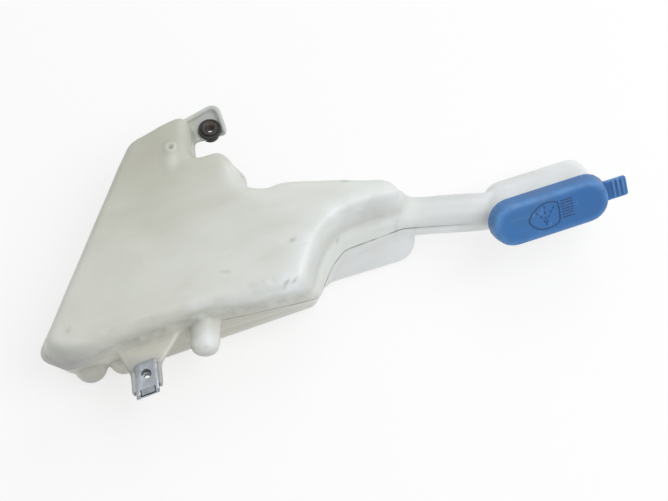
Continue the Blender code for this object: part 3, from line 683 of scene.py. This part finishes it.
# %% Painted highlight, grime and painted shade
NEAR_EDGE = [(-34, -47), (-60, -53), (-85, -60), (-104, -66)]
SCARS = [(-62, -48, 13.0, 3.4, 12), (-103, -95, 5.0, 4.0, 15), (66, 15, 1.6, 1.6, 0),
         (-113, 98, 4.0, 7.0, 0), (-174, -86, 16.0, 2.8, 20), (-142, -76, 12.0, 3.0, 22),
         (9, 43, 3.2, 1.6, 20), (-32, -10, 2.6, 1.6, 35), (3, 1, 1.2, 2.2, -20),
         (-84, -37, 2.2, 1.2, 0), (-200, -85, 3.6, 1.4, 40), (50, 16, 1.0, 4.2, -12),
         (*PIN_SCAR, 1.3, 1.3, 0), (-75, 57, 3.0, 1.0, 25), (-36, -45, 4.2, 1.3, 50),
         (-30, -43, 3.6, 1.2, 50), (-50, -45, 9.0, 3.6, 14)]

places, normals = read_points(shell.data)
x, y, z = places.T
facing = step_up(normals[:, 2], 0.0, 0.3)
# Painted highlight: the crest, the near edge, the boss, a patch before the ear and the peg's top.
painted_highlight = bell(along_path(places, CREST), 0, 9.0) * step_up(z, 58, 70)
painted_highlight += 0.7 * bell(along_path(places, NEAR_EDGE), 2, 6.0) * step_up(z, 56, 66)
painted_highlight += 0.8 * mound(places, -80, 50, 7, 8) + 0.5 * mound(places, -129, 61, 5, 9)
painted_highlight = np.maximum(painted_highlight * facing, mound(places, *PEG_AT, 13, 11))
store(shell.data, "painted_highlight", 0.50 * painted_highlight)
marks = [0.65 / max(1.0, wide * high / 12) * mound(places, left, up, wide, high, turn)
         for left, up, wide, high, turn in SCARS]
# Painted shade in the three deepest hollows.
marks += [0.07 * depth * mound(places, *oval) * facing for *oval, depth in HOLLOWS[:3]]
# Partly grime, partly painted shade on the near wall's roll.
marks.append(0.34 * step_up(-normals[:, 1], 0.2, 0.6) * step_up(x, 20, -60) * bell(z, 60, 7.0))
# Partly grime, partly painted shadow in the corner beside the peg.
marks.append(0.7 * mound(places, -113, -74, 4, 5) * bell(z, 50, 5.0))
store(shell.data, "grime_and_shade", np.max(marks, axis=0) * step_up(z, 20, 45))
print("points on the crest", int((painted_highlight > 0.5).sum()), "and marks of grime", len(marks))

# %% [markdown]
# The last attribute says how dark the parting line is painted, partly dirt and partly painted shadow: dark
# along the near wall, fainter on the neck, and only a trace at the lower left. With that the shell is
# finished. It rides on the frame's tank and stands in its place.

# %% Finished shell
def seam_share(places):
    """How dark the mould's parting line is painted at each point, partly dirt and partly painted shadow."""
    x, y = places[:, 0], places[:, 1]
    near_wall = step_up(x, -90, -82) * step_up(y, 40, 34)
    lower_left = 0.35 * step_up(x, -120, -135) * step_up(y, -70, -80) * step_up(y, -96, -92)
    on_neck = step_up(x, 112, 96) * (1 - 0.45 * step_up(x, 62, 84))
    return np.maximum(near_wall * on_neck, lower_left)


def finish_piece(obj, body, material, *nodes):
    """Paint a piece, and let it ride on its body in place of the nodes it dresses."""
    obj.data.materials.clear()
    obj.data.materials.append(material)
    obj.data.shade_smooth()
    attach(obj, body)
    if nodes:
        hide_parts(*nodes)
    triangles = sum(len(p.vertices) - 2 for p in obj.data.polygons)
    print(obj.name, "rides on", body, "with", triangles, "triangles")
    return obj


store(shell.data, "seam", seam_share(places))
finish_piece(shell, "tank", RESIN, "tank")

# %% [markdown]
# The two halves of the mould leave a thin raised line where they meet. It follows the tank's own outline
# at the parting height, so a cut through a copy of the shell gives its path, and Geometry Nodes run a
# small round profile along it. Each tree has named inputs for its sizes, and ends by making its
# instances real and setting the material.

# %% Trees that run a profile along a line
def step(tree, kind, inputs=None, **settings):
    """The first output of a new geometry node."""
    return new_node(tree, "GeometryNode" + kind, inputs, **settings).outputs[0]


def geometry_group(name, **inputs):
    return group("Geometry", name, {"Geometry": "Geometry", **inputs}, {"Geometry": "Geometry"})


def swept(tree, curve, sides, radius):
    """A round profile run along a curve, with its ends closed."""
    profile = step(tree, "CurvePrimitiveCircle", {"Resolution": sides, "Radius": radius})
    return step(tree, "CurveToMesh", {"Curve": curve, "Profile Curve": profile, "Fill Caps": True})


def close_tree(tree, geometry, material, end):
    real = step(tree, "RealizeInstances", {"Geometry": geometry})
    painted = step(tree, "SetMaterial", {"Geometry": real, "Material": material})
    feed(tree, end, {"Geometry": painted})


def line_tree(name, material):
    tree, given, end = geometry_group(name, Radius=0.0005, Spacing=0.0015)
    curve = step(tree, "MeshToCurve", {"Mesh": given["Geometry"]})
    rounded = step(tree, "CurveSplineType", {"Curve": curve}, spline_type="CATMULL_ROM")
    even = step(tree, "ResampleCurve", {"Curve": rounded, "Length": given["Spacing"]}, mode="LENGTH")
    close_tree(tree, swept(tree, even, 8, given["Radius"]), material, end)
    return tree


def run_tree(obj, tree, **values):
    """Run a tree on an object with these values for its inputs, and keep the result as its mesh."""
    modifier = obj.modifiers.new(tree.name, "NODES")
    modifier.node_group = tree
    for item in tree.interface.items_tree:
        if item.item_type == "SOCKET" and item.in_out == "INPUT" and item.name in values:
            modifier[item.identifier] = values[item.name]
    return applied(obj)


def wire_object(name, rows, closed=True):
    """An object of edges only, through rows of points."""
    mesh = bpy.data.meshes.new(name)
    points, edges = [], []
    for row in rows:
        first = len(points)
        points += row
        edges += [(first + i, first + i + 1) for i in range(len(row) - 1)]
        if closed:
            edges.append((first + len(row) - 1, first))
    mesh.from_pydata(points, edges, [])
    return new_object(name, mesh)


# %% [markdown]
# A cut gives loose edges, so they are followed from point to point into loops, and the longest loop is
# the outside of the tank. On the filler head the line has been scraped off, so the loop is turned to
# start where it leaves the head, and it is cut off where it comes back to it.

# %% Parting line
HEAD_FROM = 0.108


def section_loops(mesh, height):
    """The closed lines in which a level plane cuts a mesh."""
    bm = bmesh.new()
    bm.from_mesh(mesh)
    cut = bmesh.ops.bisect_plane(bm, geom=bm.verts[:] + bm.edges[:] + bm.faces[:],
                                 plane_co=(0, 0, height), plane_no=(0, 0, 1))["geom_cut"]
    edges = {e for e in cut if isinstance(e, bmesh.types.BMEdge)}
    loops = []
    while edges:
        edge = edges.pop()
        loop, vert = [edge.verts[0].co.copy()], edge.verts[1]
        while True:
            loop.append(vert.co.copy())
            onward = [e for e in vert.link_edges if e in edges]
            if not onward:
                break
            edges.discard(onward[0])
            vert = onward[0].other_vert(vert)
        loops.append(loop)
    bm.free()
    return loops


loops = section_loops(shell.data, PARTING)
lengths = [sum((b - a).length for a, b in zip(loop, loop[1:])) for loop in loops]
outline = loops[int(np.argmax(lengths))]
on_head = [point.x > HEAD_FROM for point in outline]
first = next(i for i in range(len(outline)) if on_head[i - 1] and not on_head[i])
outline = outline[first:] + outline[:first]
outline = outline[:next(i for i, point in enumerate(outline) if point.x > HEAD_FROM)]
print("parting line", round(max(lengths), 3), "m round,", len(outline), "points kept")
flash = wire_object("parting_flash", [outline], closed=False)
run_tree(flash, line_tree("raised line", RESIN), Radius=0.00028, Spacing=0.0015)
store(flash.data, "seam", seam_share(read_points(flash.data)[0]))
finish_piece(flash, "tank", RESIN)

# %% [markdown]
# The lid is injection moulded in a tougher blue plastic. It is darker blue towards its finger tab, its rim
# is lighter, partly rubbed and partly a painted highlight, and fine scuffs cross it. The lines in relief on
# its face are much darker, partly dirt and partly painted shadow round them, so they get a darker version
# of the same material.

# %% Blue plastic
BLUES = {"moulded": (0.038, 0.152, 0.395, 1), "cloudy": (0.050, 0.140, 0.305, 1),
         "tab_end": (0.030, 0.122, 0.335, 1), "scuff": (0.20, 0.34, 0.55, 1),
         "rubbed_and_lit": (0.150, 0.340, 0.650, 1), "dirt_and_shade": (0.020, 0.050, 0.110, 1),
         "soiled_and_shaded": (0.006, 0.022, 0.065, 1)}


def blue_plastic(name, soiling_and_shade):
    made, tree, shader, where = new_material(name)
    cloud = use(tree, CLOUD, where, Scale=55.0, Low=0.42, High=0.68)["Mask"]
    colour = tint(tree, BLUES["moulded"], maths(tree, "MULTIPLY", cloud, 0.60), BLUES["cloudy"])
    along = add(tree, "SeparateXYZ", {0: where}).outputs["X"]
    # Darker blue towards the finger tab.
    colour = tint(tree, colour, ramp(tree, along, 0.155, 0.205, top=0.8), BLUES["tab_end"])
    scuff = use(tree, SCUFF, where, Scale=90.0, Amount=0.5)["Mask"]
    colour = tint(tree, colour, scuff, BLUES["scuff"])
    colour = worn_with_painted_light(tree, colour, where, BLUES["rubbed_and_lit"], BLUES["dirt_and_shade"], Scale=110.0, Rubbed=0.58, Dirty=0.50)
    # Relief lines darkened: partly dirt, partly painted shadow round them.
    colour = tint(tree, colour, soiling_and_shade, BLUES["soiled_and_shaded"])
    feed(tree, shader, {"Base Color": colour, "Roughness": 0.42, "Specular IOR Level": 0.32})
    grained(tree, shader, where, scale=1400.0, depth=0.00006, strength=0.4)
    return made


BLUE, SOILED_AND_SHADED_BLUE = blue_plastic("blue plastic", 0.0), blue_plastic("soiled blue plastic", 0.70)
print(BLUE.name, "has", len(BLUE.node_tree.nodes), "nodes")

# %% [markdown]
# The lid starts as a copy of the frame's lid with much smaller cells, because its edges are crisper than
# the tank's. Only the edge round its face is rolled over more widely, so points are measured in the lid's
# own directions: s along it, m across, n out. From above the lid is a slot, two half circles joined by
# straight sides, and the distance to that outline says where its rim is.

# %% Lid
LID_S = Vector((0.9426, 0.3338, 0.0))
LID_M = Vector((-0.2360, 0.6665, 0.7071))
LID_N = LID_S.cross(LID_M)
LID_FACE = place(172.4, 17.2, 71.0)
LID_CELL = 0.0006
HALF_STRAIGHT = 31.3
END_RADIUS = 17.7

lid = soft_shell(merged_copy("filler_lid", "filler_lid_shell"), LID_CELL, rounds=3)
offset = (read_points(lid.data)[0] - np.array(LID_FACE / MM - SHIFT)) @ np.array((LID_S, LID_M, LID_N)).T
past_end = np.clip(np.abs(offset[:, 0]) - HALF_STRAIGHT, 0, None)
inward = END_RADIUS - np.hypot(past_end, offset[:, 1])
rim = step_up(offset[:, 2], -11, -6) * step_up(inward, 10, 7) * step_up(inward, -3, -1)
smooth_where(lid, rim, rounds=110)
store_edges_and_creases(lid, rounds=40, reach=0.16)
finish_piece(lid, "lid", BLUE, "filler_lid")

# %% [markdown]
# The lid's face carries a raised windscreen with a spray of washer fluid inside it, and a block of short
# ribs beside it. All stand about 0.4 mm proud. Lines are drawn flat in the lid's own plane, and Geometry
# Nodes give them a body: a round bead for the windscreen, and for the spray and the ribs a row of dashes
# that lie along each line or are turned across it.

# %% A tree of dashes
def dash_tree(name, material):
    tree, given, end = geometry_group(name, Spacing=0.0036, Length=0.0022, Radius=0.0005, Turn=0.0)
    curve = step(tree, "MeshToCurve", {"Mesh": given["Geometry"]})
    points = new_node(tree, "GeometryNodeCurveToPoints", {"Curve": curve, "Length": given["Spacing"]},
                      mode="LENGTH").outputs
    half = maths(tree, "MULTIPLY", given["Length"], 0.5)
    ahead = add(tree, "CombineXYZ", {"X": half}).outputs[0]
    behind = add(tree, "CombineXYZ", {"X": maths(tree, "MULTIPLY", half, -1.0)}).outputs[0]
    dash = swept(tree, step(tree, "CurvePrimitiveLine", {"Start": ahead, "End": behind}), 12, given["Radius"])
    along = new_node(tree, "FunctionNodeAlignRotationToVector", {"Vector": points["Tangent"]}, axis="X")
    angle = add(tree, "CombineXYZ", {"Z": given["Turn"]}).outputs[0]
    turned = new_node(tree, "FunctionNodeRotateRotation",
                      {"Rotation": along.outputs[0], "Rotate By": angle}, rotation_space="LOCAL").outputs[0]
    placed = step(tree, "InstanceOnPoints",
                  {"Points": points["Points"], "Instance": dash, "Rotation": turned})
    close_tree(tree, placed, material, end)
    return tree


# %% [markdown]
# The points of each line are millimetres along and across the lid. One turn then lays the finished relief
# on the lid's face, sunk in by a hair so that no gap shows below it.

# %% Relief on the lid
SCREEN = [(-19.7, 1.4), (-16.9, 4.7), (-12.9, 7.7), (-8.2, 10.0), (-3.7, 11.0), (1.3, 10.4), (5.2, 8.6),
          (5.7, 5.1), (5.7, -0.1), (5.1, -5.1), (3.8, -7.8), (0.6, -9.5), (-4.7, -10.3), (-9.8, -9.9),
          (-14.5, -8.0), (-18.5, -4.2), (-20.0, -0.9)]
SPRAY = [[(-6.6, -6.0), (-6.4, 0.0), (-5.9, 8.0)], [(-7.6, -4.0), (-10.0, 1.0), (-12.8, 4.0)],
         [(-5.4, -4.0), (-2.6, 1.0), (1.4, 5.4)]]
RIB_ROW = [(12.8, 8.6), (12.8, -5.4)]
RELIEF_SUNK = 0.00012


def flat_rows(rows):
    return [[Vector((s * MM, m * MM, 0)) for s, m in row] for row in rows]


def lay_on_lid(obj):
    turn = Matrix((LID_S, LID_M, LID_N)).transposed().to_4x4()
    turn.translation = LID_FACE - LID_N * RELIEF_SUNK
    obj.data.transform(turn)
    return obj


LINES, DASHES = line_tree("raised outline", SOILED_AND_SHADED_BLUE), dash_tree("dashes", SOILED_AND_SHADED_BLUE)
screen = wire_object("lid_screen_relief", flat_rows([SCREEN]))
run_tree(screen, LINES, Radius=0.00055, Spacing=0.0012)
spray = wire_object("lid_spray_relief", flat_rows(SPRAY), closed=False)
run_tree(spray, DASHES, Spacing=0.0036, Length=0.0022, Radius=0.00050, Turn=0.0)
ribs = wire_object("lid_rib_relief", flat_rows([RIB_ROW]), closed=False)
run_tree(ribs, DASHES, Spacing=0.00233, Length=0.0100, Radius=0.00048, Turn=math.pi / 2)
for relief in (screen, spray, ribs):
    finish_piece(lay_on_lid(relief), "lid", SOILED_AND_SHADED_BLUE)

# %% [markdown]
# The small fixings are made of pressed rubber and zinc-plated steel. Rubber is matt and dusty; the
# zinc is brushed across by its rolling and has gone dull. A stored attribute marks the far upper wall of
# the bush's bore, which is tinted brown, partly dust and partly painted light.

# %% Rubber and steel
BLACK, GREYED_BLACK, DUST_AND_LIGHT = (0.024, 0.022, 0.021, 1), (0.060, 0.052, 0.045, 1), (0.230, 0.150, 0.095, 1)
GREY_ZINC, DULL_ZINC, BRIGHT_ZINC = (0.26, 0.285, 0.31, 1), (0.17, 0.19, 0.20, 1), (0.42, 0.45, 0.48, 1)


def black_rubber():
    made, tree, shader, where = new_material("black rubber")
    cloud = use(tree, CLOUD, where, Scale=120.0, Low=0.45, High=0.75)["Mask"]
    # Brown in the bore: partly dust, partly painted light on its far upper wall.
    colour = tint(tree, tint(tree, BLACK, cloud, GREYED_BLACK), stored(tree, "dust_and_light"), DUST_AND_LIGHT)
    feed(tree, shader, {"Base Color": colour, "Roughness": 0.62})
    grained(tree, shader, where, scale=2200.0, depth=0.00006, strength=0.5)
    return made


def zinc_steel():
    made, tree, shader, where = new_material("zinc plated steel")
    cloud = use(tree, CLOUD, where, Scale=160.0, Low=0.40, High=0.70)["Mask"]
    brushed = drawn_out(tree, where, Rotation=(0, 0, 0.12), Scale=(8.0, 1.0, 1.0))
    streaks = noisy(tree, brushed, 2600.0, 2.0)
    colour = tint(tree, tint(tree, GREY_ZINC, cloud, DULL_ZINC), streaks, BRIGHT_ZINC)
    feed(tree, shader, {"Base Color": colour, "Metallic": 1.0,
                        "Roughness": ramp(tree, cloud, bottom=0.32, top=0.55)})
    grained(tree, shader, where, scale=2600.0, depth=0.00004, strength=0.5)
    return made


RUBBER, ZINC = black_rubber(), zinc_steel()
print("materials", [material.name for material in (RUBBER, ZINC)])

# %% [markdown]
# Bush, grommet, seal and pin are all one rounded outline carried round a path. For the round ones the
# path has a single centre, and for the seal it has two, one at each end of the slot. The outline is given
# as corners with a radius each, so every edge is softened the way moulded rubber is.

# %% An outline carried round
def round_off(corners, steps=4):
    """Points of a closed outline of (out, height, radius) corners, each corner rounded."""
    points = []
    for i, (out, height, radius) in enumerate(corners):
        here = Vector((out, height))
        back = Vector(corners[i - 1][:2]) - here
        ahead = Vector(corners[(i + 1) % len(corners)][:2]) - here
        start, end = here + back.normalized() * radius, here + ahead.normalized() * radius
        for k in range(steps + 1):
            t = k / steps
            points.append(start * (1 - t) ** 2 + here * (2 * t * (1 - t)) + end * t * t)
    return points


def carried_round(name, corners, axis, across, centres, steps=96):
    """A ring of the outline about one or more centres; the turn starts at the across direction."""
    bm = bmesh.new()
    side = axis.cross(across)
    rows = []
    per_end = steps // len(centres)
    for index, centre in enumerate(centres):
        for k in range(per_end + (len(centres) > 1)):
            angle = 2 * math.pi * (index * per_end + k) / steps
            out = across * math.cos(angle) + side * math.sin(angle)
            rows.append([bm.verts.new(centre + (out * r + axis * h) * MM) for r, h in round_off(corners)])
    for row, following in zip(rows, rows[1:] + rows[:1]):
        for i, j in zip(range(len(row)), [*range(1, len(row)), 0]):
            bm.faces.new((row[i], row[j], following[j], following[i]))
    bmesh.ops.recalc_face_normals(bm, faces=bm.faces[:])
    return mesh_object(name, bm)


# %% [markdown]
# Each corner below is millimetres out from an axis and along it: straight up for the bush, out of the end
# wall for the grommet in the pump port, along the hinge for the pin, and out of the lid's face for the
# seal. The bush has a flange on each face of the ear, and the grommet has two sealing lips in its bore.

# %% Turned fixings
UP, EAST = Vector((0, 0, 1)), Vector((1, 0, 0))
BUSH_AT = (-101.8, 103.2)
PORT_AT = (-216.05, -60.0, 24.0)
BUSH = [(3.6, 44.0, 0.5), (7.4, 44.0, 0.9), (7.4, 47.9, 0.4), (5.5, 47.9, 0.2), (5.5, 52.1, 0.2),
        (9.4, 52.1, 0.5), (9.4, 54.8, 1.0), (7.9, 54.8, 0.3), (7.7, 54.1, 0.2), (6.9, 54.1, 0.2),
        (6.7, 56.0, 0.5), (3.6, 56.0, 0.6)]
GROMMET = [(7.0, -11.3, 0.4), (9.3, -11.3, 0.6), (11.8, -9.5, 0.6), (11.8, -8.3, 0.3), (10.1, -8.3, 0.2),
           (10.1, -4.7, 0.2), (13.5, -4.7, 0.4), (13.5, -2.2, 1.0), (7.0, -2.2, 0.6), (7.0, -4.4, 0.3),
           (6.6, -5.0, 0.2), (7.0, -5.6, 0.3), (7.0, -7.4, 0.3), (6.6, -8.0, 0.2), (7.0, -8.6, 0.3)]
PIN = [(0.02, -9.0, 0.0), (1.5, -9.0, 0.4), (1.5, 9.0, 0.4), (0.02, 9.0, 0.0)]
SEAL = [(12.8, -4.8, 0.4), (15.2, -4.8, 0.4), (15.2, -2.8, 0.4), (12.8, -2.8, 0.4)]


def on_lid(s, n=0.0):
    """A point along the lid and out of its face, in millimetres, as a place in the frame."""
    return LID_FACE + (LID_S * s + LID_N * n) * MM


port_out = Vector((*END_WALL_OUT, 0)).normalized()
bush = carried_round("bush_rubber", BUSH, UP, EAST, [place(*BUSH_AT, 0)])
grommet = carried_round("grommet_rubber", GROMMET, port_out, UP, [place(*PORT_AT)])
pin = carried_round("hinge_pin_steel", PIN, LID_M, LID_S, [on_lid(-43.3, -16.0)])
seal = carried_round("seal_rubber", SEAL, LID_N, -LID_M, [on_lid(30.6), on_lid(-23.8)])
x, y, z = read_points(bush.data)[0].T
in_bore = np.hypot(x - BUSH_AT[0], y - BUSH_AT[1]) < 3.8
# Far upper wall of the bore, tinted brown: partly dust, partly painted light.
store(bush.data, "dust_and_light", 0.85 * in_bore * step_up(y, 104.6, 106.4) * step_up(z, 50.0, 53.0))
for piece, body, material, node in ((bush, "tank", RUBBER, "mount_bush"),
                                    (pin, "tank", ZINC, "lid_hinge_pin"),
                                    (grommet, "tank", RUBBER, "pump_grommet"),
                                    (seal, "lid", RUBBER, "lid_seal")):
    finish_piece(piece, body, material, node)

# %% [markdown]
# The clip nut is stamped from sheet and bent over the tab of the lug. A copy of the frame's clip with its
# edges bevelled a quarter of a millimetre catches the light along them as rolled sheet does. In its
# window lies the tongue that was bent in from it, which snaps behind the end of the lug's tab.

# %% Clip nut and its tongue
SHARP = math.radians(35)
CLIP_AT = (-143.4, -110.1)
CLIP_TURN = math.radians(187)
TONGUE_SECTION = [(11.3, 3.8), (15.0, -0.4), (14.5, -1.0), (10.9, 3.1)]
TONGUE_SIDES = (-5.6, 4.8)
TONGUE_SLANT = 0.28

clip = merged_copy("clip_nut", "clip_steel")
bevel = clip.modifiers.new("soft edges", "BEVEL")
bevel.width = 0.00025
bevel.segments = 2
bevel.limit_method = "ANGLE"
applied(clip)
finish_piece(clip, "tank", ZINC, "clip_nut")
clip.data.set_sharp_from_angle(angle=SHARP)
turn = Matrix.Rotation(CLIP_TURN, 4, "Z")
corners = [turn @ Vector((side, along + TONGUE_SLANT * side, up))
           for side in TONGUE_SIDES for along, up in TONGUE_SECTION]
between = [(i, i + 4, (i + 1) % 4 + 4, (i + 1) % 4) for i in range(4)]
mesh = bpy.data.meshes.new("clip_tongue")
mesh.from_pydata([place(*CLIP_AT, 50) + corner * MM for corner in corners], [],
                 [(0, 1, 2, 3), (7, 6, 5, 4), *between])
tongue = finish_piece(new_object("clip_tongue", mesh), "tank", ZINC)
tongue.data.set_sharp_from_angle(angle=SHARP)

# %% [markdown]
# The screw bites into a thread in the clip's collar. It is a spiral with a small pointed profile run along
# it, and a profile of four sides has just the point that a thread needs. The tree makes the spiral itself,
# so the object that it runs on is only a short line.

# %% Thread in the collar
def thread_tree(name, material):
    tree, given, end = geometry_group(name, Radius=0.0026, Pitch=0.0008, Turns=4.5, Tooth=0.0003,
                                      Foot="Vector")
    height = maths(tree, "MULTIPLY", given["Pitch"], given["Turns"])
    spiral = step(tree, "CurveSpiral",
                  {"Resolution": 48, "Rotations": given["Turns"], "Height": height,
                   "Start Radius": given["Radius"], "End Radius": given["Radius"]})
    ridge = swept(tree, spiral, 4, given["Tooth"])
    moved = step(tree, "Transform", {"Geometry": ridge, "Translation": given["Foot"]})
    close_tree(tree, moved, material, end)
    return tree


thread = wire_object("clip_thread", [[Vector(), Vector((0, 0, MM))]], closed=False)
run_tree(thread, thread_tree("screw thread", ZINC), Radius=0.0026, Pitch=0.0008, Turns=4.5, Tooth=0.00030,
         Foot=place(*CLIP_AT, 42.9))
finish_piece(thread, "tank", ZINC)
